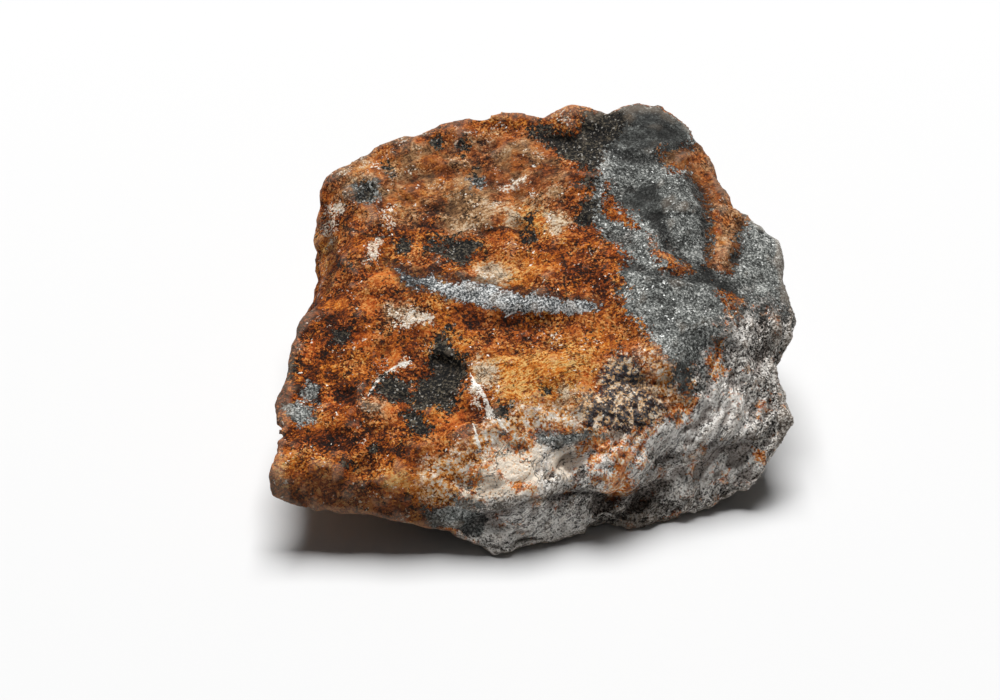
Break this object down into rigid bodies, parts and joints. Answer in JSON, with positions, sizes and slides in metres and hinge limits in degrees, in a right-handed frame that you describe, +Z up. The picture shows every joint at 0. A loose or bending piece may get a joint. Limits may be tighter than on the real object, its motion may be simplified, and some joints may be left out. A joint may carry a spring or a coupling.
{
  "type": "copper ore hand specimen",
  "caption": "Broken lump of banded host rock with copper sulphide: a tilted rust-stained upper face, a grey end, a creased front and a flat resting face.",
  "frame": {"origin": "middle of the bounding box at the height of the resting face", "axes": "+Z up, away from the resting face; +X along the longest extent, towards the grey end; -Y towards the creased front"},
  "size_m": [0.0798, 0.072, 0.0403],
  "materials": {
    "weathered_ore": "rough broken rock, rust brown and ochre iron stain over grey granular sulphide and pale banded gneiss"
  },
  "bodies": {
    "root": {"ore_stone": "weathered_ore"}
  },
  "joints": []
}
